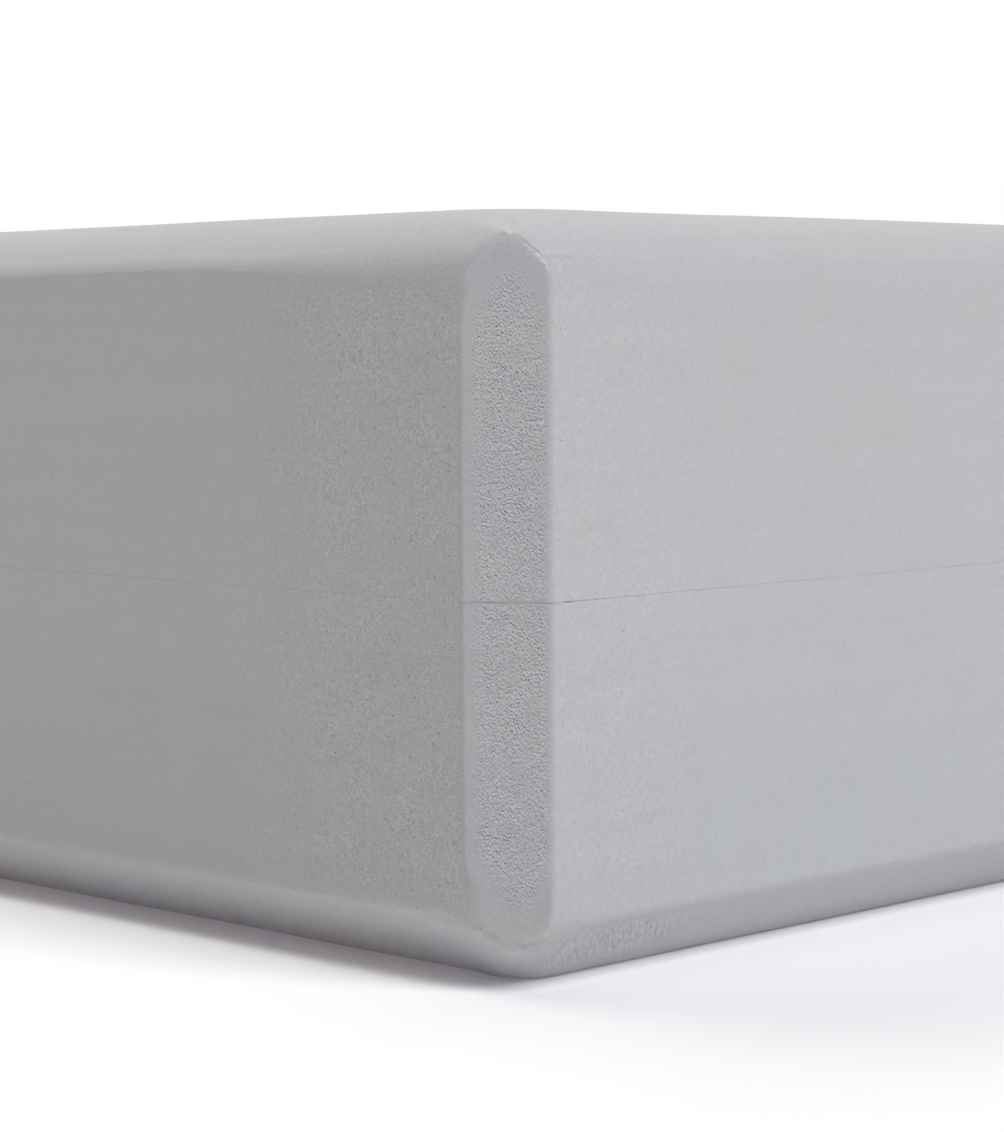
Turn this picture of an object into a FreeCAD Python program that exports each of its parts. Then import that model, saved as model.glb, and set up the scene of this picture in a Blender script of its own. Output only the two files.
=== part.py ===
import FreeCAD, Part
import math
import os

# A foam yoga block: two foam slabs glued face to face, lying on the lower slab's broad face.
# Origin at the centre of the base, +X along the length, +Y across the width, +Z up. Millimetres.

# The block as cut
BLOCK_LENGTH = 228.6
BLOCK_WIDTH = 152.4
SLAB_THICKNESS = 50.7

# The flat cuts down the four upright corners, which take more off the long sides than off the ends
CORNER_CUT_ALONG_LENGTH = 9.5
CORNER_CUT_ALONG_WIDTH = 6.8
CORNER_ARRIS_RADIUS = 1.0

# The bevels round the top face, well softened: side is for the long edges, end for the short ones
TOP_SIDE_BEVEL = 7.2
TOP_END_BEVEL = 7.4
TOP_WALL_ARRIS_RADIUS = 4.0
TOP_FACE_ARRIS_RADIUS = 16.0

# The bevels round the base, larger and crisper
BASE_SIDE_BEVEL = 9.3
BASE_END_BEVEL = 8.6
BASE_WALL_ARRIS_RADIUS = 2.0
BASE_FACE_ARRIS_RADIUS = 6.0

# The glue joint at mid height: a film that stops short of the cut walls, so the seam is a fine groove
GLUE_THICKNESS = 0.2
GLUE_SETBACK = 0.6

# How far the section prisms run past the block, and how much of an edge its two roundings may use up
PRISM_OVERRUN = 5.0
ROUNDING_ROOM_SHARE = 0.95

ALONG_LENGTH = FreeCAD.Vector(1, 0, 0)
ALONG_WIDTH = FreeCAD.Vector(0, 1, 0)
UPWARD = FreeCAD.Vector(0, 0, 1)


def rounded_outline(corners, radii):
    """A closed wire round the corners, each rounded by its radius, or by less where its edges are short."""
    count = len(corners)
    following = [(i + 1) % count for i in range(count)]
    runs = [corners[following[i]] - corners[i] for i in range(count)]
    turns = [runs[i - 1].getAngle(runs[i]) for i in range(count)]
    reaches = [radius * math.tan(turn / 2) for radius, turn in zip(radii, turns)]
    room = [ROUNDING_ROOM_SHARE * run.Length for run in runs]
    used = [reaches[i] + reaches[following[i]] for i in range(count)]
    ease = [min(1, room[i] / used[i]) if used[i] else 1 for i in range(count)]
    edges = []
    entries = []
    exits = []
    for i in range(count):
        reach = reaches[i] * min(ease[i - 1], ease[i])
        arriving = FreeCAD.Vector(runs[i - 1]).normalize()
        leaving = FreeCAD.Vector(runs[i]).normalize()
        entries.append(corners[i] - arriving * reach)
        exits.append(corners[i] + leaving * reach)
        if reach:
            inward = (leaving - arriving).normalize()
            crown = corners[i] + inward * (reach * math.tan(turns[i] / 4))
            edges.append(Part.Arc(entries[i], crown, exits[i]).toShape())
    for i in range(count):
        edges.append(Part.LineSegment(exits[i], entries[following[i]]).toShape())
    return Part.Wire(Part.__sortEdges__(edges))


def plan_face():
    """The block seen from above: a rectangle with its four corners cut off."""
    half_length = BLOCK_LENGTH / 2
    half_width = BLOCK_WIDTH / 2
    side_end = half_length - CORNER_CUT_ALONG_LENGTH
    end_end = half_width - CORNER_CUT_ALONG_WIDTH
    places = [
        (half_length, -end_end),
        (half_length, end_end),
        (side_end, half_width),
        (-side_end, half_width),
        (-half_length, end_end),
        (-half_length, -end_end),
        (-side_end, -half_width),
        (side_end, -half_width),
    ]
    corners = [FreeCAD.Vector(x, y, 0) for x, y in places]
    return Part.Face(rounded_outline(corners, [CORNER_ARRIS_RADIUS] * len(corners)))


def bevelled_prism(across, span, along, run, bevel, wall_radius, face_radius):
    """A slab's section, seam side down at height zero and bevelled at its two upper edges, drawn out along a run."""
    half = span / 2
    profile = [
        (-half, 0, 0),
        (half, 0, 0),
        (half, SLAB_THICKNESS - bevel, wall_radius),
        (half - bevel, SLAB_THICKNESS, face_radius),
        (bevel - half, SLAB_THICKNESS, face_radius),
        (-half, SLAB_THICKNESS - bevel, wall_radius),
    ]
    start = along * (-run / 2 - PRISM_OVERRUN)
    corners = [start + across * reach + UPWARD * height for reach, height, _ in profile]
    outline = rounded_outline(corners, [radius for _, _, radius in profile])
    return Part.Face(outline).extrude(along * (run + 2 * PRISM_OVERRUN))


def foam_slab(side_bevel, end_bevel, wall_radius, face_radius):
    """A slab with its seam face at height zero and its bevelled face up."""
    trimmed_sheet = plan_face().extrude(UPWARD * SLAB_THICKNESS)
    side_cuts = bevelled_prism(
        ALONG_WIDTH, BLOCK_WIDTH, ALONG_LENGTH, BLOCK_LENGTH, side_bevel, wall_radius, face_radius
    )
    end_cuts = bevelled_prism(
        ALONG_LENGTH, BLOCK_LENGTH, ALONG_WIDTH, BLOCK_WIDTH, end_bevel, wall_radius, face_radius
    )
    return trimmed_sheet.common(side_cuts).common(end_cuts).Solids[0]


def upper_foam_slab():
    slab = foam_slab(TOP_SIDE_BEVEL, TOP_END_BEVEL, TOP_WALL_ARRIS_RADIUS, TOP_FACE_ARRIS_RADIUS)
    slab.translate(UPWARD * (SLAB_THICKNESS + GLUE_THICKNESS))
    return slab


def lower_foam_slab():
    slab = foam_slab(BASE_SIDE_BEVEL, BASE_END_BEVEL, BASE_WALL_ARRIS_RADIUS, BASE_FACE_ARRIS_RADIUS)
    slab.rotate(FreeCAD.Vector(), ALONG_LENGTH, 180)
    slab.translate(UPWARD * SLAB_THICKNESS)
    return slab


def glue_film():
    film = plan_face().makeOffset2D(-GLUE_SETBACK).extrude(UPWARD * GLUE_THICKNESS)
    film.translate(UPWARD * SLAB_THICKNESS)
    return film.Solids[0]


PIECES = {
    "lower_foam_slab": lower_foam_slab,
    "glue_film": glue_film,
    "upper_foam_slab": upper_foam_slab,
}

os.makedirs("parts", exist_ok=True)
for name, make in PIECES.items():
    shape = make()
    shape.exportStep(f"parts/{name}.step")
    box = shape.BoundBox
    print(f"{name}: valid {shape.isValid()}, {shape.Volume / 1000:.1f} cm3, z {box.ZMin:.2f} to {box.ZMax:.2f}")
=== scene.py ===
import math
from collections import namedtuple

import bmesh
import bpy
import numpy as np
from mathutils import Matrix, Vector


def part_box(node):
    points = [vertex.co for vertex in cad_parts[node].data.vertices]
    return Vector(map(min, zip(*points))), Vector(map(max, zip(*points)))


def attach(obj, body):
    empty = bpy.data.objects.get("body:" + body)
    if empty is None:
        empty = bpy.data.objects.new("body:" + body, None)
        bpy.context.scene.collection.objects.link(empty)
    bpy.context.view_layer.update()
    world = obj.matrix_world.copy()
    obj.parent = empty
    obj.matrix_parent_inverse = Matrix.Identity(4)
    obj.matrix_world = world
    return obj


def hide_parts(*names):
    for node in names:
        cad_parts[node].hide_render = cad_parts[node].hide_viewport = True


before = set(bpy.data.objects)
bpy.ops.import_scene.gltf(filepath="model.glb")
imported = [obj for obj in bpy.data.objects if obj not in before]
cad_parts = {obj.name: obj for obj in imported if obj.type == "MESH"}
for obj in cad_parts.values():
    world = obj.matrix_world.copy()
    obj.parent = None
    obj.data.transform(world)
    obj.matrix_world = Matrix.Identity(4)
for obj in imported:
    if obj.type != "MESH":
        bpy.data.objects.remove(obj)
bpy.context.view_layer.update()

# Sizes of the two slabs, read from their parts in model.glb, in metres
LOWER_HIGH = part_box("lower_foam_slab")[1]
UPPER_LOW, UPPER_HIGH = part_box("upper_foam_slab")
HALF_LENGTH = UPPER_HIGH[0]
HALF_WIDTH = UPPER_HIGH[1]
SLAB_THICKNESS = UPPER_HIGH[2] - UPPER_LOW[2]
SEAM_MIDDLE = (LOWER_HIGH[2] + UPPER_LOW[2]) / 2

# The flat cuts down the upright corners
CUT_ALONG_LENGTH = 0.0095
CUT_ALONG_WIDTH = 0.0068
CUT_ARRIS_RADIUS = 0.001
CUT_WIDTH = math.hypot(CUT_ALONG_LENGTH, CUT_ALONG_WIDTH)

# The bevels of each slab: side is for the long edges, end for the short ones. Their arrises are rounded at
# the walls by the side and end radius, and on the outer face by the face radius, the end face radius at the
# ends, or the corner radius near a corner. A side bevel may be shallower by its rise part of the way along,
# have a larger radius near the corners, and meet its wall in a slight crease. Where two bevels meet, their
# mitre is rounded by the mitre radius at the outer face and by the tip radius where it comes to the corner
# cut. A cut ends there in a gable, whose edges are eased on the side bevel, on the end bevel and at the
# arrises of the side wall and the end wall. The top's gables are torn. The base has a bead along its side
# arrises and fuzz on its end bevels.
Bevels = namedtuple(
    "Bevels",
    "side end side_rise side_crease side_radius corner_side_radius end_radius face_radius end_face_radius"
    " corner_radius mitre_radius tip_radius side_ease end_ease arris_ease end_arris_ease torn bead fuzz",
)
TOP_BEVELS = Bevels(
    side=0.0070,
    end=0.0074,
    side_rise=0.00045,
    side_crease=0.0002,
    side_radius=0.0045,
    corner_side_radius=0.0085,
    end_radius=0.0045,
    face_radius=0.016,
    end_face_radius=0.016,
    corner_radius=0.016,
    mitre_radius=0.011,
    tip_radius=0.0014,
    side_ease=0.0010,
    end_ease=0.0006,
    arris_ease=0.0006,
    end_arris_ease=0.0,
    torn=1,
    bead=0,
    fuzz=0,
)
BASE_BEVELS = Bevels(
    side=0.0093,
    end=0.0086,
    side_rise=0.0,
    side_crease=0.0,
    side_radius=0.0025,
    corner_side_radius=0.0025,
    end_radius=0.0025,
    face_radius=0.0065,
    end_face_radius=0.0025,
    corner_radius=0.0025,
    mitre_radius=0.0065,
    tip_radius=0.0035,
    side_ease=0.0010,
    end_ease=0.0004,
    arris_ease=0.0015,
    end_arris_ease=0.0018,
    torn=0,
    bead=1,
    fuzz=1,
)

# Where along a side bevel its rise lies, and how far its larger radius reaches from a corner
RISE_PLACE = 0.076
RISE_LENGTH = 0.024
SIDE_RADIUS_FADE = (0.020, 0.060)

# How late a mitre narrows to its tip, how finely that is searched for, and how far the corner radius reaches
TIP_ONSET = 4
TIP_SEARCH_STEPS = 20000
CORNER_REACH = 0.012

# The share of its radius that a 45-degree arris's rounding takes up on each face, and the sine of 45 degrees
HALF_TURN = math.tan(math.pi / 8)
DIAGONAL = math.sqrt(0.5)

# How far the easing of the gables reaches, and how it is worked out
EASE_TURN = (-0.0008, 0.0008)
ARRIS_EASE_ALONG = (0.002, 0.010)
ARRIS_EASE_DOWN = (0.003, 0.009)
EASE_STEPS = 5
LEAST_STEEPNESS = 0.1
PROBE_LENGTH = 1e-6

# How finely the skin of a slab is divided
CUT_ROWS = 300
HALF_CUT_COLUMNS = 28
WALL_ROW_STEPS = (2, 2, 4, 8)
MIDDLE_WALL_ROWS = 12
ARRIS_STEPS = 4
FLAT_ROWS = 6
ROUND_ROWS = 14
FIRST_COLUMN = 0.0002
COLUMN_GROWTH = 1.15
LARGEST_COLUMN = 0.0035
WELD_DISTANCE = 1e-6

# The lips at the seam, which swell towards each other and close the groove, but gape at the corner cuts,
# less along the walls, and at a nick beside each corner on the end walls
LIP_RADIUS = 0.00004
LIP_BAND = 1.5 * LIP_RADIUS
LIP_STEPS = 3
LIP_FLAT = 0.00035
LIP_END = 0.00055
SEAM_BORDER = 0.002
GAPE_START = 0.5
END_GAPE = 0.4
END_GAPE_LENGTH = 0.012
FAR_END_GAPE = 0.2
SIDE_GAPE = 0.1
NICK_INSET = 0.0094
NICK_LENGTH = 0.0005
NICK_GAPE = 2.4

# Where the torn grain of a corner cut fades out: at its two arrises, under its gable and at the seam
SIDE_ARRIS_FADE = (0.0, 0.0031)
END_ARRIS_FADE = (0.0, 0.0014)
GABLE_FADE = (0.0005, 0.0085)
GABLE_LAG = 0.85
SEAM_FADE = (0.0, 0.0004)

# The split along the end edge of a top gable, the torn foam under it, the crease that runs on past it, and
# the soft dent along the end edge of a base gable
SPLIT_WIDTH = 0.00018
SPLIT_ONSET = (0.0004, 0.0010)
SPLIT_END = (0.0003, 0.0016)
TEAR_DROP = 0.0007
TEAR_WIDTH = 0.0005
TEAR_ONSET = (0.0010, 0.0030)
TEAR_END = CUT_ARRIS_RADIUS / 4
TIP_TEAR_LENGTH = 0.0016
TIP_TEAR_WIDTH = 0.0004
DENT_WIDTH = 0.0004
DENT_ONSET = (-0.0010, 0.0002)
DENT_END = (0.0006, 0.0028)
DENT_SHARE = 0.36
CREASE_INSET = 0.0008
CREASE_WIDTH = 0.00012
CREASE_START = CUT_ALONG_WIDTH / 2
CREASE_END = 0.012
CREASE_SHARE = 0.3

# The face of a corner cut, and the speckle of the walls and bevels round it
CUT_FACE_REACH = 0.0006
CUT_FACE_ONSET = 0.003
END_SPECKLE = 0.5
BEVEL_SPECKLE = 0.36
FAR_SPECKLE = (0.008, 0.032)
FAR_SPECKLE_LOSS = 0.95

# The fuzz on the base's end bevels, the bead on its side arrises, and the waves of both slabs
FUZZ_REACH = (0.026, 0.042)
FUZZ_ONSET = (0.0025, 0.006)
FUZZ_MITRE_FADE = (0.003, 0.0075)
FUZZ_ARRIS_FADE = (0.0003, 0.0022)
FUZZ_FACE_FADE = (0.0045, 0.0075)
FUZZ_LOSS = 0.7
BEAD_WIDTH = 0.0007
BEAD_DEPTH = 2 * BEAD_WIDTH
BEAD_RISE = 0.0005
BEAD_ONSET = CUT_ALONG_WIDTH / 2
BEAD_SWELL = 0.9
BEAD_SWELL_REACH = (0.004, 0.016)
WAVE_ONSET = 0.008

# How near to a face a point counts as on it, and how far the patterns of the four cuts are set apart
ON_SURFACE = 2e-5
CORNERS_APART = 2

# How noise of 0 to 1 is turned into patches, each from none to full strength
TORN_PATCH_FADE = (0.35, 0.6)
LEAST_TORN = 0.65
WAVE_FADE = (0.3, 0.7)
TEAR_FADE = (0.35, 0.65)
BEAD_FADE = (0.35, 0.6)
GAPE_FADE = (0.5, 0.62)
SPECKLE_PATCH_FADE = (0.35, 0.65)
SEAM_BREAK_FADE = (0.35, 0.6)
TINT_FADE = (0.35, 0.65)
GLUE_FADE = (0.35, 0.65)


class Field:
    """A socket of a node tree. Arithmetic on it adds Math nodes."""

    def __init__(self, tree, socket):
        self.tree = tree
        self.socket = socket

    def math(self, operation, *operands):
        return self.tree.node("ShaderNodeMath", {"operation": operation}, dict(enumerate(operands)))

    def __add__(self, other):
        return self.math("ADD", self, other)

    def __radd__(self, other):
        return self.math("ADD", other, self)

    def __sub__(self, other):
        return self.math("SUBTRACT", self, other)

    def __rsub__(self, other):
        return self.math("SUBTRACT", other, self)

    def __mul__(self, other):
        return self.math("MULTIPLY", self, other)

    def __rmul__(self, other):
        return self.math("MULTIPLY", other, self)

    def __truediv__(self, other):
        return self.math("DIVIDE", self, other)

    def __rtruediv__(self, other):
        return self.math("DIVIDE", other, self)


class Tree:
    """A node tree whose nodes all come from one method."""

    def __init__(self, tree):
        self.tree = tree
        tree.nodes.clear()

    def node(self, kind, settings=None, sockets=None, output=0):
        made = self.tree.nodes.new(kind)
        for name, value in (settings or {}).items():
            setattr(made, name, value)
        for key, value in (sockets or {}).items():
            if isinstance(value, Field):
                self.tree.links.new(value.socket, made.inputs[key])
            else:
                made.inputs[key].default_value = value
        return Field(self, made.outputs[output]) if made.outputs else made

    def noise(self, place, scale, detail=2.0, roughness=0.5, distortion=0.0):
        sockets = {
            "Vector": place,
            "Scale": scale,
            "Detail": detail,
            "Roughness": roughness,
            "Distortion": distortion,
        }
        return self.node("ShaderNodeTexNoise", {}, sockets)

    def fade(self, value, low, high):
        """0 below the low value, 1 above the high one, smooth between."""
        sockets = {"Value": value, "From Min": low, "From Max": high}
        return self.node("ShaderNodeMapRange", {"interpolation_type": "SMOOTHSTEP"}, sockets)

    def stretch(self, place, factors):
        return self.node("ShaderNodeVectorMath", {"operation": "MULTIPLY"}, {0: place, 1: factors})

    def shift(self, place, offset):
        return self.node("ShaderNodeVectorMath", {"operation": "ADD"}, {0: place, 1: offset})

    def turn(self, place, angle, axis="Z_AXIS"):
        settings = {"rotation_type": axis}
        return self.node("ShaderNodeVectorRotate", settings, {"Vector": place, "Angle": angle})

    def torn_patches(self, cut_place, density):
        """How strongly a corner cut is torn, patch by patch."""
        patches = self.fade(self.noise(cut_place, density, detail=1), *TORN_PATCH_FADE)
        return LEAST_TORN + (1 - LEAST_TORN) * patches

    def mix(self, factor, first, second, blend="MIX"):
        """A mix of two colours, whose sockets come after the node's sockets for numbers and vectors."""
        settings = {"data_type": "RGBA", "blend_type": blend}
        return self.node("ShaderNodeMix", settings, {0: factor, 6: first, 7: second}, output=2)


# The form of a slab


def smooth_share(value, limits):
    """0 below the first limit, 1 above the second, smooth between."""
    share = np.clip((value - limits[0]) / (limits[1] - limits[0]), 0, 1)
    return share * share * (3 - 2 * share)


def hump(value, width):
    """1 where a value is 0, and less on both sides."""
    return np.exp(-((value / width) ** 2))


def bevel_drop(inset, bevel, wall_radius, face_radius, crease=0.0):
    """How far under a slab's outer face its bevel lies, at an inset from the wall. The wall cuts off the
    outermost part of the rounding, as deep as the crease."""
    wall_reach = wall_radius * HALF_TURN
    face_reach = face_radius * HALF_TURN
    from_wall_centre = np.clip(wall_radius - crease - inset, 0, wall_radius)
    from_face_centre = np.clip(bevel + face_reach - inset, 0, face_radius)
    near_wall = bevel + crease + wall_reach - np.sqrt(wall_radius**2 - from_wall_centre**2)
    near_face = face_radius - np.sqrt(face_radius**2 - from_face_centre**2)
    drop = np.where(inset < wall_reach * DIAGONAL - crease, near_wall, bevel - inset)
    return np.where(inset > bevel - face_reach * DIAGONAL, near_face, drop)


def bevel_inset(drop, bevel, bevels):
    """How far in from the wall a bevel lies, at a drop under the slab's outer face."""
    face_reach = bevels.face_radius * HALF_TURN
    from_centre = np.clip(bevels.face_radius - drop, 0, bevels.face_radius)
    near_face = bevel + face_reach - np.sqrt(bevels.face_radius**2 - from_centre**2)
    return np.where(drop < face_reach * DIAGONAL, near_face, bevel - drop)


def cut_reach(inset, along, across):
    """How far a corner cut runs along a wall, at an inset from that wall, with its arris rounded."""
    turn = math.atan2(across, along)
    start = along + CUT_ARRIS_RADIUS * math.tan(turn / 2)
    from_centre = np.clip(CUT_ARRIS_RADIUS - inset, 0, None)
    rounded = start - np.sqrt(CUT_ARRIS_RADIUS**2 - from_centre**2)
    return np.where(inset < CUT_ARRIS_RADIUS * (1 - math.cos(turn)), rounded, along * (1 - inset / across))


def cut_insets(apex, along, across):
    """Insets of a cut's columns, from its arris on one wall to the column under its gable's tip."""
    turn = math.atan2(across, along)
    angles = np.linspace(0, turn, ARRIS_STEPS + 1)
    rounded = CUT_ARRIS_RADIUS * (1 - np.cos(angles))
    flat = np.linspace(rounded[-1], apex, HALF_CUT_COLUMNS - ARRIS_STEPS + 1)
    return np.concatenate([rounded, flat[1:]])


def gable_tip(bevels):
    """Insets from the end and from the side where both bevels meet a corner cut at the same height."""
    from_side = np.linspace(0, CUT_ALONG_WIDTH, TIP_SEARCH_STEPS + 1)
    from_end = CUT_ALONG_LENGTH * (1 - from_side / CUT_ALONG_WIDTH)
    end = bevel_drop(from_end, bevels.end, bevels.end_radius, bevels.face_radius)
    side = bevel_drop(from_side, bevels.side, bevels.corner_side_radius, bevels.face_radius)
    tip = np.interp(0, end - side, from_side)
    return CUT_ALONG_LENGTH * (1 - tip / CUT_ALONG_WIDTH), tip


def flat_start(bevel, bevels):
    """How far in from the wall a bevel ends and the flat outer face begins."""
    return bevel + bevels.face_radius * HALF_TURN


def mitre_drop(past, face_radius):
    """How far under the outer face a bevel lies, at a run past the edge of the flat."""
    arc_end = face_radius * DIAGONAL
    arc = face_radius - np.sqrt(face_radius**2 - np.clip(past, 0, arc_end) ** 2)
    return arc + np.clip(past - arc_end, 0, None)


def rounded_larger(first, second, radius):
    """The larger of two lengths, with the crease where they are equal rounded off."""
    gap = np.abs(first - second)
    half_chord = np.sqrt(np.clip(2 * radius**2 - gap**2, 0, None))
    return np.where(gap < radius, radius + (first + second - half_chord) / 2, np.maximum(first, second))


def outer_drop(from_end, from_side, bevels):
    """How far under a slab's outer face its skin lies, with the mitres between the bevels rounded."""
    past_end = flat_start(bevels.end, bevels) - from_end
    side_bevel = bevels.side - bevels.side_rise * hump(from_end - RISE_PLACE, RISE_LENGTH)
    past_side = flat_start(side_bevel, bevels) - from_side
    tip_past = flat_start(bevels.end, bevels) - gable_tip(bevels)[0]
    nearness = np.clip(np.maximum(past_end, past_side) / tip_past, 0, 1) ** TIP_ONSET
    radius = bevels.mitre_radius + (bevels.tip_radius - bevels.mitre_radius) * nearness
    off_mitre = smooth_share(np.abs(past_end - past_side), (0, CORNER_REACH))
    far_radius = np.where(past_side > past_end, bevels.face_radius, bevels.end_face_radius)
    face_radius = bevels.corner_radius + (far_radius - bevels.corner_radius) * off_mitre
    past = rounded_larger(past_end, past_side, radius) - (bevels.face_radius - face_radius) * HALF_TURN
    off_corner = smooth_share(from_end, SIDE_RADIUS_FADE)
    side_radius = bevels.corner_side_radius + (bevels.side_radius - bevels.corner_side_radius) * off_corner
    side = bevel_drop(from_side, side_bevel, side_radius, face_radius, bevels.side_crease)
    end = bevel_drop(from_end, bevels.end, bevels.end_radius, face_radius)
    return np.maximum(mitre_drop(past, face_radius), np.maximum(side, end))


def ridge_drops(tip_drop, face_radius):
    """Drops of the bevels' rows from the gable's tip up to the slab's outer face."""
    round_drop = face_radius * (1 - DIAGONAL)
    flat = np.linspace(tip_drop, round_drop, FLAT_ROWS, endpoint=False) if tip_drop > round_drop else []
    first_angle = math.acos(1 - min(tip_drop, round_drop) / face_radius)
    angles = np.linspace(first_angle, 0, ROUND_ROWS + 1)
    return np.concatenate([flat, face_radius * (1 - np.cos(angles))])


def graded_shares(length):
    """Shares of a length from its far end, 0, to the corner, 1, with the steps finest at the corner."""
    places = [0.0]
    step = FIRST_COLUMN
    while places[-1] + step < length:
        places.append(places[-1] + step)
        step = min(step * COLUMN_GROWTH, LARGEST_COLUMN)
    return 1 - np.array(places)[::-1] / places[-1]


def wall_rows():
    """Which rows of a cut its walls share: few in the middle, more towards the seam and the bevel."""
    first = np.cumsum((0, *WALL_ROW_STEPS))
    last = CUT_ROWS - first[::-1]
    middle = np.linspace(first[-1], last[0], MIDDLE_WALL_ROWS + 1).round().astype(int)
    return np.concatenate([first[:-1], middle, last[1:]])


class Skin:
    """The points and faces of a slab, gathered patch by patch and welded at the end."""

    def __init__(self):
        self.points = []
        self.faces = []
        self.quarter = np.ones(3)

    def add(self, points):
        start = len(self.points)
        self.points.extend(np.reshape(points, (-1, 3)) * self.quarter)
        return start

    def grid(self, points):
        rows, columns, _ = points.shape
        places = self.add(points) + np.arange(rows * columns).reshape(rows, columns)
        corners = [places[:-1, :-1], places[:-1, 1:], places[1:, 1:], places[1:, :-1]]
        self.faces.extend(np.stack(corners, axis=-1).reshape(-1, 4).tolist())

    def stitch(self, coarse, fine, shared_rows):
        """Faces between a column of points and a finer one, some of whose rows it shares."""
        for row, (low, high) in enumerate(zip(shared_rows, shared_rows[1:])):
            outline = [coarse[row], *fine[low : high + 1], coarse[row + 1]]
            start = self.add(outline)
            self.faces.append(list(range(start, start + len(outline))))

    def outer(self, x, y, bevels):
        """A grid over a bevel or the outer face."""
        drop = outer_drop(HALF_LENGTH - x, HALF_WIDTH - y, bevels)
        self.grid(place_points(x, y, SLAB_THICKNESS - drop))

    def cap(self, outline):
        start = self.add(outline)
        self.faces.append(list(range(start, start + len(outline))))


def place_points(x, y, height):
    return np.stack(np.broadcast_arrays(x, y, height), axis=-1)


def seam_lip(skin, side_foot, cut_foot, end_foot):
    """The lip round the seam, from the feet of the walls and the cut, and the glued face inside it."""
    outline = np.concatenate([side_foot, cut_foot, end_foot[::-1]])[:, :2]
    slope = math.atan2(CUT_ALONG_WIDTH, CUT_ALONG_LENGTH)
    cut_turn = np.concatenate([np.linspace(0, 1, ARRIS_STEPS + 1), np.ones(HALF_CUT_COLUMNS - ARRIS_STEPS)])
    end_turn = math.pi / 2 - cut_turn * (math.pi / 2 - slope)
    cut_angles = np.concatenate([cut_turn * slope, end_turn[-2::-1]])
    angles = np.concatenate([np.zeros(len(side_foot)), cut_angles, np.full(len(end_foot), math.pi / 2)])
    inward = -np.stack([np.sin(angles), np.cos(angles)], axis=-1)
    lip_angles = np.linspace(0, math.pi / 2, LIP_STEPS + 1)
    lip_insets = [*(LIP_RADIUS * (1 - np.cos(lip_angles))), LIP_FLAT, LIP_END, SEAM_BORDER]
    lip_heights = [*(LIP_RADIUS * (1 - np.sin(lip_angles))), 0, 0, 0]
    rings = []
    for inset, height in zip(lip_insets, lip_heights):
        ring = outline + inward * inset
        rings.append(place_points(ring[:, 0], ring[:, 1], height))
    skin.grid(np.array(rings))
    skin.cap([*rings[-1], np.zeros(3)])


def quarter_slab(skin, bevels):
    """A quarter of a slab, from its centre planes to one corner, with the seam face at height 0."""
    tip_from_end, tip_from_side = gable_tip(bevels)
    side_insets = cut_insets(tip_from_side, CUT_ALONG_LENGTH, CUT_ALONG_WIDTH)
    end_insets = cut_insets(tip_from_end, CUT_ALONG_WIDTH, CUT_ALONG_LENGTH)
    side_reach = cut_reach(side_insets, CUT_ALONG_LENGTH, CUT_ALONG_WIDTH)
    end_reach = cut_reach(end_insets, CUT_ALONG_WIDTH, CUT_ALONG_LENGTH)
    length_shares = graded_shares(HALF_LENGTH - side_reach[0])
    width_shares = graded_shares(HALF_WIDTH - end_reach[0])

    # The corner cut, column by column from the side wall to the end wall
    cut_x = HALF_LENGTH - np.concatenate([side_reach, end_insets[-2::-1]])
    cut_y = HALF_WIDTH - np.concatenate([side_insets, end_reach[-2::-1]])
    cut_top = SLAB_THICKNESS - outer_drop(HALF_LENGTH - cut_x, HALF_WIDTH - cut_y, bevels)
    cut_rows = np.linspace(0, 1, CUT_ROWS + 1)[:, None]
    cut = place_points(cut_x, cut_y, LIP_RADIUS + (cut_top - LIP_RADIUS) * cut_rows)
    skin.grid(cut)

    # The two flat walls, each sewn to the finer columns of the cut
    rows = wall_rows()
    wall_x = cut_x[0] * length_shares[:-1]
    wall_y = cut_y[-1] * width_shares[:-1]
    side_top = SLAB_THICKNESS - outer_drop(HALF_LENGTH - wall_x, 0, bevels)
    end_top = SLAB_THICKNESS - outer_drop(0, HALF_WIDTH - wall_y, bevels)
    side_wall = place_points(wall_x, HALF_WIDTH, LIP_RADIUS + (side_top - LIP_RADIUS) * cut_rows[rows])
    end_wall = place_points(HALF_LENGTH, wall_y, LIP_RADIUS + (end_top - LIP_RADIUS) * cut_rows[rows])
    skin.grid(side_wall)
    skin.grid(end_wall)
    skin.stitch(side_wall[:, -1], cut[:, 0], rows)
    skin.stitch(end_wall[:, -1], cut[:, -1], rows)

    # The two bevels, which end at the cut below the gable's tip and at each other above it
    tip_drop = bevel_drop(tip_from_side, bevels.side, bevels.corner_side_radius, bevels.face_radius)
    drops = ridge_drops(tip_drop, bevels.face_radius)[1:]
    ridge_from_side = bevel_inset(drops, bevels.side, bevels)
    ridge_from_end = bevel_inset(drops, bevels.end, bevels)
    side_y = HALF_WIDTH - np.concatenate([side_insets, ridge_from_side])[:, None]
    side_x = HALF_LENGTH - np.concatenate([side_reach, ridge_from_end])[:, None]
    end_x = HALF_LENGTH - np.concatenate([end_insets, ridge_from_end])[:, None]
    end_y = HALF_WIDTH - np.concatenate([end_reach, ridge_from_side])[:, None]
    skin.outer(side_x * length_shares, side_y, bevels)
    skin.outer(end_x, end_y * width_shares, bevels)

    # The outer face
    skin.outer(side_x[-1] * length_shares, (end_y[-1] * width_shares)[:, None], bevels)

    # The lip and the glued face
    seam_lip(skin, side_wall[0], cut[0], end_wall[0])


def behind_cut(from_end, from_side):
    """How far a point lies behind the plane of the nearest corner cut."""
    share = from_end / CUT_ALONG_LENGTH + from_side / CUT_ALONG_WIDTH - 1
    return share * CUT_ALONG_LENGTH * CUT_ALONG_WIDTH / CUT_WIDTH


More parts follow.
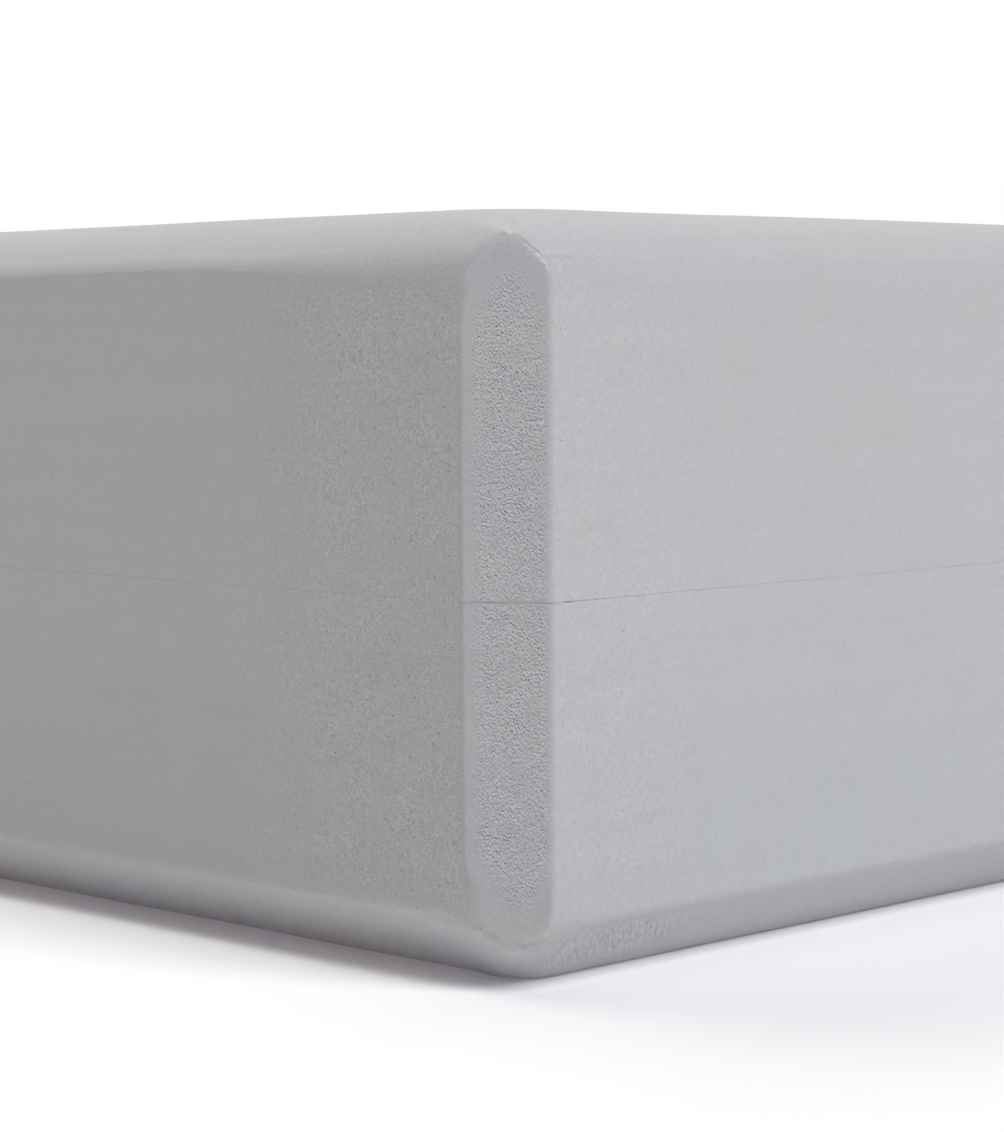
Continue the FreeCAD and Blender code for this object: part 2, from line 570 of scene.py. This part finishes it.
def place_along_cut(from_end, from_side):
    """How far a point lies along the nearest corner cut, from its side arris."""
    run = from_side * CUT_ALONG_WIDTH + (CUT_ALONG_LENGTH - from_end) * CUT_ALONG_LENGTH
    return run / CUT_WIDTH


def skin_places(mesh, seam_height):
    """A mesh's points, their insets from the end and side walls, and their distance from the seam face."""
    points = np.empty(len(mesh.vertices) * 3)
    mesh.vertices.foreach_get("co", points)
    points = points.reshape(-1, 3)
    x, y, z = points.T
    return points, HALF_LENGTH - np.abs(x), HALF_WIDTH - np.abs(y), np.abs(z - seam_height)


def past_eased(from_end, from_side, height, bevels):
    """How far a point lies outside a slab whose gables are eased, or less than 0 inside it."""
    behind = behind_cut(from_end, from_side)
    under = SLAB_THICKNESS - height - outer_drop(from_end, from_side, bevels)
    on_side = smooth_share(from_end - gable_tip(bevels)[0], EASE_TURN)
    gable_ease = bevels.end_ease + (bevels.side_ease - bevels.end_ease) * on_side
    near_gable = 1 - smooth_share(under, ARRIS_EASE_DOWN)
    near = near_gable * (1 - smooth_share(behind, ARRIS_EASE_ALONG))
    end_arris_ease = np.maximum(bevels.end_arris_ease * near, PROBE_LENGTH)
    past = rounded_larger(-under * DIAGONAL, -from_end, end_arris_ease)
    past = rounded_larger(past, -behind, np.maximum(gable_ease * near_gable, PROBE_LENGTH))
    return rounded_larger(past, -from_side, np.maximum(bevels.arris_ease * near, PROBE_LENGTH))


def ease_gables(mesh, bevels, seam_height):
    """Presses in the points near the gables until they lie on the eased form."""
    points, *places = skin_places(mesh, seam_height)
    places = np.array(places)
    start = places.copy()
    for _ in range(EASE_STEPS):
        past = past_eased(*places, bevels)
        slopes = []
        for axis in range(3):
            probe = places.copy()
            probe[axis] += PROBE_LENGTH
            slopes.append((past_eased(*probe, bevels) - past) / PROBE_LENGTH)
        slopes = np.array(slopes)
        steepness = np.clip((slopes**2).sum(axis=0), LEAST_STEEPNESS, None)
        places -= slopes * np.clip(past, 0, None) / steepness
    inward = -np.sign(points) * (1, 1, 0) + (0, 0, np.sign(points[:, 2].mean() - seam_height))
    points += (places - start).T * inward
    mesh.vertices.foreach_set("co", points.ravel())


# The marks that tell the finish how each point of a skin was worked

Places = namedtuple("Places", "from_end from_side height drop behind along_cut under_gable on_cut on_bevel")


def finish_places(from_end, from_side, height, bevels):
    """Where points lie against the walls, the seam face, the outer face, the corner cut and its gable."""
    drop = SLAB_THICKNESS - height
    behind = behind_cut(from_end, from_side)
    along_cut = place_along_cut(from_end, from_side)
    under_gable = drop - outer_drop(from_end, from_side, bevels)
    on_cut = (behind < ON_SURFACE) & (height > LIP_RADIUS / 2)
    on_bevel = ~on_cut & (under_gable < ON_SURFACE)
    return Places(from_end, from_side, height, drop, behind, along_cut, under_gable, on_cut, on_bevel)


def grain_mark(at, bevels):
    """The torn grain of a corner cut, which starts nearest the gable under its tip."""
    off_tip = np.abs(at.along_cut - place_along_cut(*gable_tip(bevels)))
    grain = at.on_cut * smooth_share(at.along_cut, SIDE_ARRIS_FADE)
    grain *= smooth_share(CUT_WIDTH - at.along_cut, END_ARRIS_FADE)
    grain *= smooth_share(at.under_gable - GABLE_LAG * off_tip, GABLE_FADE)
    return grain * smooth_share(at.height, SEAM_FADE)


def cut_face_mark(at):
    """The face of a corner cut, short of its gable, which the material darkens with painted shade."""
    cut_face = 1 - smooth_share(at.behind, (0, CUT_FACE_REACH))
    return cut_face * smooth_share(at.under_gable, (0, CUT_FACE_ONSET))


def speckle_mark(at):
    """The speckle beside the corner cuts, strongest on the side walls."""
    wall_speckle = np.where(at.from_side < at.from_end, 1, END_SPECKLE)
    on_wall = smooth_share(at.under_gable, (0, CUT_FACE_ONSET))
    speckled = BEVEL_SPECKLE + (wall_speckle - BEVEL_SPECKLE) * on_wall
    speckled *= 1 - FAR_SPECKLE_LOSS * smooth_share(at.behind, FAR_SPECKLE)
    return speckled * (1 - cut_face_mark(at))


def fuzz_mark(at, bevels):
    """The fuzz on the base's end bevels beside the corners."""
    on_end_bevel = at.on_bevel & (at.from_end < bevels.end) & (at.from_side > at.from_end)
    fuzz = bevels.fuzz * on_end_bevel * (1 - smooth_share(at.from_side, FUZZ_REACH))
    fuzz *= smooth_share(at.behind, FUZZ_ONSET)
    fuzz *= smooth_share(at.from_side - at.from_end, FUZZ_MITRE_FADE)
    fuzz *= smooth_share(at.from_end, FUZZ_ARRIS_FADE)
    return fuzz * (1 - FUZZ_LOSS * smooth_share(at.from_end, FUZZ_FACE_FADE))


def split_mark(at, bevels):
    """The end edge of a gable: a split that runs on as a crease at the top, a soft dent at the base, all
    darkened in the material with painted shade.
    """
    from_tip = gable_tip(bevels)[0] - at.from_end
    on_edge = at.on_cut | at.on_bevel
    off_gable = np.where(at.on_cut, at.under_gable, at.behind)
    if not bevels.torn:
        dent = DENT_SHARE * on_edge * hump(off_gable, DENT_WIDTH)
        return dent * smooth_share(from_tip, DENT_ONSET) * smooth_share(at.from_end, DENT_END)
    split = on_edge * hump(off_gable, SPLIT_WIDTH)
    split *= smooth_share(from_tip, SPLIT_ONSET) * smooth_share(at.from_end, SPLIT_END)
    crease = CREASE_SHARE * at.on_bevel * hump(at.from_end - CREASE_INSET, CREASE_WIDTH)
    crease *= (at.from_side > CREASE_START) * (1 - smooth_share(at.behind, (0, CREASE_END)))
    return np.maximum(split, crease)


def torn_mark(at, bevels):
    """The torn foam under the end edge of a top gable and at its tip, which the material paints pale: partly
    the torn foam's own paler colour, partly a painted highlight.
    """
    tip_from_end, tip_from_side = gable_tip(bevels)
    torn = at.on_cut * hump(at.under_gable - TEAR_DROP, TEAR_WIDTH)
    torn *= smooth_share(tip_from_end - at.from_end, TEAR_ONSET) * (at.from_end > TEAR_END)
    off_mitre = (at.from_end - tip_from_end) - (at.from_side - tip_from_side)
    tip_torn = at.on_bevel * hump(at.behind, TIP_TEAR_LENGTH) * hump(off_mitre, TIP_TEAR_WIDTH)
    return bevels.torn * np.maximum(torn, tip_torn)


def bead_mark(at, bevels):
    """The raised bead along the arris of a base side bevel, which swells towards the corners; the material
    lightens it with a painted highlight.
    """
    bead = bevels.bead * hump(at.drop - bevels.side - BEAD_RISE, BEAD_WIDTH) * (at.from_side < BEAD_DEPTH)
    bead *= smooth_share(at.behind, (0, BEAD_ONSET))
    return bead * (1 + BEAD_SWELL * (1 - smooth_share(at.behind, BEAD_SWELL_REACH)))


def lip_mark(at):
    """The lips of the seam."""
    from_outline = np.minimum(np.minimum(at.from_end, at.from_side), at.behind)
    return (at.height < LIP_BAND) * (1 - smooth_share(from_outline, (LIP_FLAT, LIP_END)))


def gape_mark(at):
    """How far the seam gapes: widest at the corner cuts and the nicks, least along the side walls."""
    end_gape = FAR_END_GAPE + END_GAPE * np.exp((CUT_ALONG_WIDTH - at.from_side) / END_GAPE_LENGTH)
    end_gape += NICK_GAPE * hump(at.from_side - NICK_INSET, NICK_LENGTH)
    wall_gape = np.where(at.from_end < at.from_side, end_gape, SIDE_GAPE)
    cut_gape = GAPE_START + (1 - GAPE_START) * at.along_cut / CUT_WIDTH
    return np.where(at.behind < LIP_END, cut_gape, wall_gape)


def mark_finish(mesh, bevels, seam_height, upward):
    """Stores the marks at each point of a skin, and its place on the nearest corner cut."""
    points, *insets = skin_places(mesh, seam_height)
    at = finish_places(*insets, bevels)
    marks = {
        "grain": grain_mark(at, bevels),
        "cut_face": cut_face_mark(at),
        "speckled": speckle_mark(at),
        "fuzz": fuzz_mark(at, bevels),
        "split": split_mark(at, bevels),
        "torn": torn_mark(at, bevels),
        "bead": bead_mark(at, bevels),
        "wave": smooth_share(at.height, (0, WAVE_ONSET)),
        "lip": -upward * lip_mark(at),
        "gape": gape_mark(at),
    }
    for name, values in marks.items():
        mesh.attributes.new(name, "FLOAT", "POINT").data.foreach_set("value", values.astype(float))
    x, y, z = points.T
    places = np.stack([-np.sign(x * y) * at.along_cut, z, x + CORNERS_APART * y], axis=-1)
    mesh.attributes.new("cut_place", "FLOAT_VECTOR", "POINT").data.foreach_set("vector", places.ravel())


def slab_mesh(name, bevels, seam_height, upward):
    """A slab's plain skin, welded and turned outwards, with its seam face at a height."""
    skin = Skin()
    for side in (1, -1):
        for end in (1, -1):
            skin.quarter = np.array([end, side, 1])
            quarter_slab(skin, bevels)
    points = np.array(skin.points) * (1, 1, upward) + (0, 0, seam_height)
    mesh = bpy.data.meshes.new(name)
    mesh.from_pydata(points.tolist(), [], skin.faces)
    work = bmesh.new()
    work.from_mesh(mesh)
    bmesh.ops.remove_doubles(work, verts=work.verts, dist=WELD_DISTANCE)
    bmesh.ops.recalc_face_normals(work, faces=work.faces)
    for face in work.faces:
        face.smooth = True
    work.to_mesh(mesh)
    work.free()
    mark_finish(mesh, bevels, seam_height, upward)
    ease_gables(mesh, bevels, seam_height)
    return mesh


# The finish of a slab: what cutting and sanding leave on its skin
FINISH_SIZES = {
    "Wave Depth": 0.00012,
    "Wave Length": 0.045,
    "Grain Depth": 0.0002,
    "Grain Length": 0.00072,
    "Grain Pitch": 0.00027,
    "Grain Slant": math.radians(31),
    "Patch Size": 0.005,
    "Fuzz Depth": 0.0001,
    "Fuzz Length": 0.0020,
    "Fuzz Pitch": 0.00028,
    "Fuzz Lean": math.radians(-44),
    "Split Depth": 0.00014,
    "Tear Height": 0.00016,
    "Tear Length": 0.0004,
    "Bead Height": 0.00012,
    "Bead Length": 0.014,
    "Lip Swell": 0.0001003,
    "Gape Length": 0.0012,
    "Hairline": 0.09,
    "Gape": 0.4,
    "Widest Gape": 0.6,
    "Seed": 3.0,
}
SECOND_SEED = 1.7


def finish_tree():
    """Geometry nodes that wave the walls, tear the cuts, fuzz and bead the base, split the gables and swell
    the lips of the seam."""
    group = bpy.data.node_groups.new("foam_finish", "GeometryNodeTree")
    group.interface.new_socket("Skin", in_out="INPUT", socket_type="NodeSocketGeometry")
    for name in FINISH_SIZES:
        group.interface.new_socket(name, in_out="INPUT", socket_type="NodeSocketFloat")
    group.interface.new_socket("Foam", in_out="INPUT", socket_type="NodeSocketMaterial")
    group.interface.new_socket("Skin", in_out="OUTPUT", socket_type="NodeSocketGeometry")
    tree = Tree(group)
    entry = tree.node("NodeGroupInput").socket.node
    size = {socket.name: Field(tree, socket) for socket in entry.outputs if socket.name}

    def mark(name, kind="FLOAT"):
        return tree.node("GeometryNodeInputNamedAttribute", {"data_type": kind}, {"Name": name})

    cut_place = mark("cut_place", "FLOAT_VECTOR")
    start = tree.node("ShaderNodeCombineXYZ", {}, {"X": size["Seed"], "Y": size["Seed"] * SECOND_SEED})
    place = tree.shift(tree.node("GeometryNodeInputPosition"), start)

    def density(x, y, z):
        shares = {"X": 1 / size[x], "Y": 1 / size[y], "Z": 1 / size[z]}
        return tree.node("ShaderNodeCombineXYZ", {}, shares)

    waves = tree.fade(tree.noise(place, 1 / size["Wave Length"], detail=1), *WAVE_FADE)
    grain_density = density("Grain Length", "Grain Pitch", "Grain Length")
    slanting = tree.stretch(tree.turn(cut_place, size["Grain Slant"]), grain_density)
    wrinkles = tree.noise(slanting, 1, detail=1, roughness=0.6, distortion=0.3)
    strength = tree.torn_patches(cut_place, 1 / size["Patch Size"])
    fuzz_density = density("Fuzz Length", "Fuzz Pitch", "Fuzz Length")
    leaning = tree.stretch(tree.turn(place, size["Fuzz Lean"], "X_AXIS"), fuzz_density)
    strokes = tree.noise(leaning, 1, detail=1)
    tears = tree.fade(tree.noise(place, 1 / size["Tear Length"], detail=1), *TEAR_FADE)
    beads = tree.fade(tree.noise(place, 1 / size["Bead Length"], detail=1), *BEAD_FADE)
    gaps = tree.fade(tree.noise(place, 1 / size["Gape Length"], detail=1), *GAPE_FADE)

    height = (wrinkles - 0.5) * mark("grain") * strength * size["Grain Depth"]
    height = height + (strokes - 0.5) * mark("fuzz") * size["Fuzz Depth"]
    height = height - mark("wave") * waves * size["Wave Depth"]
    height = height - mark("split") * size["Split Depth"] + mark("torn") * tears * size["Tear Height"]
    height = height + mark("bead") * beads * size["Bead Height"]
    normal = tree.node("GeometryNodeInputNormal")
    outward = tree.node("ShaderNodeVectorMath", {"operation": "SCALE"}, {0: normal, "Scale": height})
    open_share = mark("gape") * (size["Hairline"] + size["Gape"] * gaps)
    closed_share = 1 - open_share.math("MINIMUM", open_share, size["Widest Gape"])
    swell = mark("lip") * size["Lip Swell"] * closed_share
    offset = tree.shift(outward, tree.node("ShaderNodeCombineXYZ", {}, {"Z": swell}))
    moved = tree.node("GeometryNodeSetPosition", {}, {"Geometry": size["Skin"], "Offset": offset})
    whole = tree.node("GeometryNodeRealizeInstances", {}, {"Geometry": moved})
    foamed = tree.node("GeometryNodeSetMaterial", {}, {"Geometry": whole, "Material": size["Foam"]})
    tree.node("NodeGroupOutput", {}, {"Skin": foamed})
    return group


def foam_slab(name, bevels, seam_height, upward, tree, foam):
    """A finished slab: its plain skin, worked over by the finish tree and kept as a plain mesh."""
    slab = bpy.data.objects.new(name, slab_mesh(name, bevels, seam_height, upward))
    bpy.context.scene.collection.objects.link(slab)
    modifier = slab.modifiers.new("foam_finish", "NODES")
    modifier.node_group = tree
    inputs = {item.name: item.identifier for item in tree.interface.items_tree if item.in_out == "INPUT"}
    for size_name, size in FINISH_SIZES.items():
        modifier[inputs[size_name]] = size
    modifier[inputs["Foam"]] = foam
    finished = bpy.data.meshes.new_from_object(slab.evaluated_get(bpy.context.evaluated_depsgraph_get()))
    slab.modifiers.remove(modifier)
    slab.data = finished
    return slab


# Materials

# The foam as a whole
FOAM_COOL = (0.466, 0.470, 0.483, 1)
FOAM_WARM = (0.473, 0.467, 0.473, 1)
FOAM_ROUGHNESS = 0.92
FOAM_SHINE = 0.4
FOAM_SHEEN = 0.12
SHEEN_ROUGHNESS = 0.6
TINT_SIZE = 0.020
CELL_SIZE = 0.0004
CELL_DEPTH = 0.00004

# Its even skin
TONE_SIZE = 0.006
TONE_SHADE = 0.05
SPECKLE_SIZE = 0.0010
SPECKLE_SHADE = 0.18
CORNER_SPECKLE_SHADE = 0.22
FINE_SPECKLE_SIZE = 0.00025
FINE_SPECKLE_SHADE = 0.30
PATCH_SPECKLE_SHADE = 0.55
SPECKLE_PATCH = 0.006
STREAK_LENGTH = 0.09
STREAK_PITCH = 0.0030
STREAK_SHADE = 0.09
# Pits, drawn only as dark dots: painted shade of small hollows in the skin
PIT_SPACING = 0.0034
PIT_RADIUS = 0.0002
PIT_PAINTED_SHADE = 0.15
CORNER_PIT_PAINTED_SHADE = 0.45
SMALL_PIT_SPACING = 0.0015
SMALL_PIT_RADIUS = 0.00018
SMALL_PIT_PAINTED_SHADE = 0.5
SMALL_PIT_SHIFT = (0.2, 0.7, 0.4)
SPECK_SPACING = 0.008
SPECK_RADIUS = 0.00014
SPECK_SHADE = 0.2
SPECK_SHIFT = (0.5, 0.3, 0.1)
DOT_CORE = 0.4

# Its torn cuts, whose pores are drawn in colour: a painted highlight on each lip and painted shade in each
# hollow
PORE_LENGTH = 0.00052
PORE_PITCH = 0.00020
PORE_STEP = 0.00022
# The painted highlight and painted shade of the pores, the extra painted shade in their hollows, and a lift
# that evens out their mean
PORE_PAINTED_SHADING = 1.4
PORE_PAINTED_HOLLOW_SHADE = 1.2
PORE_DEPTH = 0.0001
PORE_LIFT = 0.03
# Painted shade: the whole face of a cut a little darker, as its rough surface shades itself
CUT_PAINTED_SHADE = 0.08

# Its fuzz, its edges and the line of the seam
FUZZ_SHADE = 0.9
# Painted shade in the splits, dents and creases of the gables
SPLIT_PAINTED_SHADE = 0.28
# Pale torn foam, partly its own paler colour and partly a painted highlight on the torn edge
TEAR_PALE_AND_HIGHLIGHT = 0.45
# Painted highlight along the raised bead
BEAD_PAINTED_HIGHLIGHT = 0.065
SEAM_LINE = (0.00006, 0.0002)
SEAM_BREAK_SIZE = 0.004
SEAM_SHADE = 0.24
LEAST_SEAM = 0.3


def skin_mark(tree, name, output="Fac"):
    """A mark that the skin of a slab carries."""
    return tree.node("ShaderNodeAttribute", {"attribute_name": name}, output=output)


def dots(tree, place, spacing, radius):
    """1 inside scattered dots of a radius, 0 outside."""
    distance = tree.node("ShaderNodeTexVoronoi", {}, {"Vector": place, "Scale": 1 / spacing})
    return 1 - tree.fade(distance, DOT_CORE * radius / spacing, radius / spacing)


def skin_shade(tree, place):
    """The even skin: soft tones, saw streaks, light specks and, mostly near corners, speckle and pits drawn
    as painted shade.
    """
    tone = tree.noise(place, 1 / TONE_SIZE, detail=2, roughness=0.6) - 0.5
    streak_density = (1 / STREAK_LENGTH, 1 / STREAK_LENGTH, 1 / STREAK_PITCH)
    streaks = tree.noise(tree.stretch(place, streak_density), 1, detail=3, roughness=0.6) - 0.5
    speckle = tree.noise(place, 1 / SPECKLE_SIZE, detail=2, roughness=1) - 0.5
    fine_speckle = tree.noise(place, 1 / FINE_SPECKLE_SIZE, detail=1) - 0.5
    patches = tree.fade(tree.noise(place, 1 / SPECKLE_PATCH, detail=2), *SPECKLE_PATCH_FADE)
    pits = dots(tree, place, PIT_SPACING, PIT_RADIUS)
    small_pits = dots(tree, tree.shift(place, SMALL_PIT_SHIFT), SMALL_PIT_SPACING, SMALL_PIT_RADIUS)
    specks = dots(tree, tree.shift(place, SPECK_SHIFT), SPECK_SPACING, SPECK_RADIUS)
    speckled = skin_mark(tree, "speckled")
    shade = 1 + tone * TONE_SHADE + streaks * STREAK_SHADE + specks * SPECK_SHADE
    shade = shade + speckle * (SPECKLE_SHADE + speckled * CORNER_SPECKLE_SHADE)
    shade = shade + fine_speckle * speckled * (FINE_SPECKLE_SHADE + patches * PATCH_SPECKLE_SHADE)
    # Painted shade in the pits
    shade = shade - pits * (PIT_PAINTED_SHADE + speckled * CORNER_PIT_PAINTED_SHADE)
    return shade - small_pits * speckled * SMALL_PIT_PAINTED_SHADE


def torn_cut(tree):
    """The colour and height of the torn cuts: slanting pores, each with a painted highlight on its lip over
    painted shade in its hollow, and the whole cut face darkened with painted shade.
    """
    cut_place = skin_mark(tree, "cut_place", "Vector")
    turned = tree.turn(cut_place, FINISH_SIZES["Grain Slant"])
    pore_density = (1 / PORE_LENGTH, 1 / PORE_PITCH, 1 / PORE_LENGTH)
    lips = tree.noise(tree.stretch(turned, pore_density), 1, detail=1)
    hollows = tree.noise(tree.stretch(tree.shift(turned, (0, PORE_STEP, 0)), pore_density), 1, detail=1)
    painted_relief = lips - hollows
    torn = skin_mark(tree, "grain") * tree.torn_patches(cut_place, 1 / FINISH_SIZES["Patch Size"])
    # Painted highlight on the upper lip of each pore and painted shade in the hollow below it, with extra
    # painted shade in the hollows
    shade = torn * (PORE_LIFT + painted_relief * (PORE_PAINTED_SHADING - painted_relief * PORE_PAINTED_HOLLOW_SHADE))
    # The face of the cut darkened with painted shade
    return shade - skin_mark(tree, "cut_face") * CUT_PAINTED_SHADE, lips * torn * PORE_DEPTH


def fuzz_strokes(tree, place):
    """The leaning strokes of the fuzz beside the base corners."""
    along = 1 / FINISH_SIZES["Fuzz Length"]
    across = 1 / FINISH_SIZES["Fuzz Pitch"]
    leaning = tree.turn(place, FINISH_SIZES["Fuzz Lean"], "X_AXIS")
    strokes = tree.noise(tree.stretch(leaning, (along, across, along)), 1, detail=1) - 0.5
    return strokes * skin_mark(tree, "fuzz")


def edge_painted_light_and_torn_foam(tree, place):
    """Painted shade in the splits, dents and creases of the gables, the torn foam beside the splits, pale
    partly by its own colour and partly as a painted highlight, and a painted highlight along the bead.
    """
    tears = tree.fade(tree.noise(place, 1 / FINISH_SIZES["Tear Length"], detail=1), *TEAR_FADE)
    # Pale torn foam with a painted highlight, and a painted highlight along the bead
    pale = skin_mark(tree, "torn") * tears * TEAR_PALE_AND_HIGHLIGHT + skin_mark(tree, "bead") * BEAD_PAINTED_HIGHLIGHT
    # Painted shade in the splits, dents and creases
    return pale - skin_mark(tree, "split") * SPLIT_PAINTED_SHADE


def seam_line(tree, place):
    """The line of the seam, broken in places."""
    level = tree.node("ShaderNodeSeparateXYZ", {}, {"Vector": place}, output="Z")
    off_seam = level.math("ABSOLUTE", level - SEAM_MIDDLE)
    line = (1 - tree.fade(off_seam, *SEAM_LINE)) * skin_mark(tree, "gape")
    breaks = tree.fade(tree.noise(place, 1 / SEAM_BREAK_SIZE, detail=1), *SEAM_BREAK_FADE)
    return line * (LEAST_SEAM + (1 - LEAST_SEAM) * breaks)


def foam_material():
    """Light grey closed-cell foam, a little warmer in places, with fine cells."""
    material = bpy.data.materials.new("cut_foam")
    material.use_nodes = True
    tree = Tree(material.node_tree)
    place = tree.node("ShaderNodeTexCoord", output="Object")
    cut_shade, cut_height = torn_cut(tree)
    fuzz = fuzz_strokes(tree, place)
    # The colour mixes the foam's own tones with the painted highlights and painted shade of the pores, pits,
    # splits and bead
    shade = skin_shade(tree, place) + cut_shade + fuzz * FUZZ_SHADE + edge_painted_light_and_torn_foam(tree, place)
    shade = shade - seam_line(tree, place) * SEAM_SHADE
    tint = tree.fade(tree.noise(place, 1 / TINT_SIZE, detail=4, roughness=0.6), *TINT_FADE)
    cells = tree.noise(place, 1 / CELL_SIZE, detail=1, roughness=0.7) - 0.5
    height = cells * CELL_DEPTH + cut_height + fuzz * FINISH_SIZES["Fuzz Depth"]
    foam = {
        "Base Color": tree.mix(1, tree.mix(tint, FOAM_COOL, FOAM_WARM), shade, "MULTIPLY"),
        "Roughness": FOAM_ROUGHNESS,
        "Specular IOR Level": FOAM_SHINE,
        "Sheen Weight": FOAM_SHEEN,
        "Sheen Roughness": SHEEN_ROUGHNESS,
        "Normal": tree.node("ShaderNodeBump", {}, {"Height": height, "Distance": 1, "Strength": 1}),
    }
    surface = tree.node("ShaderNodeBsdfPrincipled", {}, foam)
    tree.node("ShaderNodeOutputMaterial", {}, {"Surface": surface})
    return material


# The glue
GLUE_DARK = (0.10, 0.095, 0.09, 1)
GLUE_PALE = (0.26, 0.25, 0.23, 1)
GLUE_PATCH = 0.003
GLUE_ROUGHNESS = 0.45
GLUE_PATCH_ROUGHNESS = 0.25


def glue_material():
    """Dried contact glue: dull grey, patchy where it was brushed thin."""
    material = bpy.data.materials.new("dried_glue")
    material.use_nodes = True
    tree = Tree(material.node_tree)
    place = tree.node("ShaderNodeTexCoord", output="Object")
    patches = tree.noise(place, 1 / GLUE_PATCH, detail=3)
    colour = tree.mix(tree.fade(patches, *GLUE_FADE), GLUE_DARK, GLUE_PALE)
    glue = {"Base Color": colour, "Roughness": GLUE_ROUGHNESS + GLUE_PATCH_ROUGHNESS * patches}
    surface = tree.node("ShaderNodeBsdfPrincipled", {}, glue)
    tree.node("ShaderNodeOutputMaterial", {}, {"Surface": surface})
    return material


# The studio

FLOOR_SIZE = 20.0
FLOOR_WHITE = (0.92, 0.92, 0.92, 1)
FLOOR_ROUGHNESS = 0.9
FLOOR_GLOW = (1, 0.922, 0.990, 1)
FLOOR_GLOW_STRENGTH = 0.107
AMBIENT = 0.0
BACKGROUND = 1.0
WHITE = (1, 1, 1, 1)


def studio_floor():
    """A wide pale floor under the block, lit a little from below like a light table."""
    half = FLOOR_SIZE / 2
    corners = [(-half, -half, 0), (half, -half, 0), (half, half, 0), (-half, half, 0)]
    mesh = bpy.data.meshes.new("studio_floor")
    mesh.from_pydata(corners, [], [(0, 1, 2, 3)])
    floor = bpy.data.objects.new("studio_floor", mesh)
    bpy.context.scene.collection.objects.link(floor)
    material = bpy.data.materials.new("pale_floor")
    material.use_nodes = True
    tree = Tree(material.node_tree)
    pale = {
        "Base Color": FLOOR_WHITE,
        "Roughness": FLOOR_ROUGHNESS,
        "Emission Color": FLOOR_GLOW,
        "Emission Strength": FLOOR_GLOW_STRENGTH,
    }
    surface = tree.node("ShaderNodeBsdfPrincipled", {}, pale)
    tree.node("ShaderNodeOutputMaterial", {}, {"Surface": surface})
    mesh.materials.append(material)


def studio_world():
    """Plain white behind the block, and no light from it."""
    world = bpy.data.worlds.new("studio_world")
    world.use_nodes = True
    tree = Tree(world.node_tree)
    seen = tree.node("ShaderNodeLightPath", output="Is Camera Ray")
    light = tree.node("ShaderNodeBackground", {}, {"Color": WHITE, "Strength": AMBIENT})
    white = tree.node("ShaderNodeBackground", {}, {"Color": WHITE, "Strength": BACKGROUND})
    both = tree.node("ShaderNodeMixShader", {}, {0: seen, 1: light, 2: white})
    tree.node("ShaderNodeOutputWorld", {}, {"Surface": both})
    bpy.context.scene.world = world


SoftLight = namedtuple("SoftLight", "name azimuth elevation spread strength colour")
SOFT_LIGHTS = [
    SoftLight("right_panel", 0, 50, 40, 2.582, (0.927, 0.964, 1)),
    SoftLight("left_panel", 180, 50, 40, 1.220, (1, 0.878, 0.844)),
    SoftLight("back_panel", 135, 25, 40, 0.741, (1, 0.987, 0.992)),
    SoftLight("front_panel", 300, 4, 30, 0.24, (0.983, 0.874, 1)),
]
NEAR_PANEL_SIZE = 0.30
NEAR_PANEL_HEIGHT = 0.40
NEAR_PANEL_POWER = 0.296
NEAR_PANEL_COLOUR = (1, 0.999, 0.869)


def soft_light(light):
    """A wide soft panel, so far off that it lights the whole block alike. Its azimuth is from +X to +Y."""
    data = bpy.data.lights.new(light.name, "SUN")
    data.angle = math.radians(light.spread)
    data.energy = light.strength
    data.color = light.colour
    panel = bpy.data.objects.new(light.name, data)
    bpy.context.scene.collection.objects.link(panel)
    turn = Matrix.Rotation(math.radians(90 + light.azimuth), 4, "Z")
    tilt = Matrix.Rotation(math.radians(90 - light.elevation), 4, "X")
    panel.matrix_world = turn @ tilt


def near_panel():
    """A small panel close above the block, which lights its top more than the foot of its walls."""
    data = bpy.data.lights.new("near_panel", "AREA")
    data.size = NEAR_PANEL_SIZE
    data.energy = NEAR_PANEL_POWER
    data.color = NEAR_PANEL_COLOUR
    panel = bpy.data.objects.new("near_panel", data)
    panel.location = (0, 0, NEAR_PANEL_HEIGHT)
    panel.visible_camera = False
    bpy.context.scene.collection.objects.link(panel)


# The camera, as the photograph was taken
IMAGE_HEIGHT = 1132
FOCAL_LENGTH_PIXELS = 3156
SENSOR_SIZE = 36
CAMERA_PLACE = (0.3935, -0.3573, 0.0847)
CAMERA_YAW = 45.04
CAMERA_PITCH = -4.15
CAMERA_ROLL = -0.36
NEAREST_VIEW = 0.01


def photo_camera():
    data = bpy.data.cameras.new("photo_camera")
    data.sensor_width = SENSOR_SIZE
    data.lens = FOCAL_LENGTH_PIXELS / IMAGE_HEIGHT * SENSOR_SIZE
    data.clip_start = NEAREST_VIEW
    camera = bpy.data.objects.new("photo_camera", data)
    bpy.context.scene.collection.objects.link(camera)
    yaw = Matrix.Rotation(math.radians(CAMERA_YAW), 4, "Z")
    pitch = Matrix.Rotation(math.radians(90 + CAMERA_PITCH), 4, "X")
    roll = Matrix.Rotation(math.radians(CAMERA_ROLL), 4, "Z")
    camera.matrix_world = Matrix.Translation(CAMERA_PLACE) @ yaw @ pitch @ roll
    bpy.context.scene.camera = camera


photo_camera()
studio_floor()
studio_world()
near_panel()
for light in SOFT_LIGHTS:
    soft_light(light)

foam = foam_material()
finish = finish_tree()
upper_slab = foam_slab("upper_slab", TOP_BEVELS, UPPER_LOW[2], 1, finish, foam)
lower_slab = foam_slab("lower_slab", BASE_BEVELS, LOWER_HIGH[2], -1, finish, foam)
for slab, node in ((upper_slab, "upper_foam_slab"), (lower_slab, "lower_foam_slab")):
    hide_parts(node)
    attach(slab, "root")

glue = glue_material()
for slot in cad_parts["glue_film"].material_slots:
    slot.material = glue

bpy.context.scene.view_settings.view_transform = "Standard"
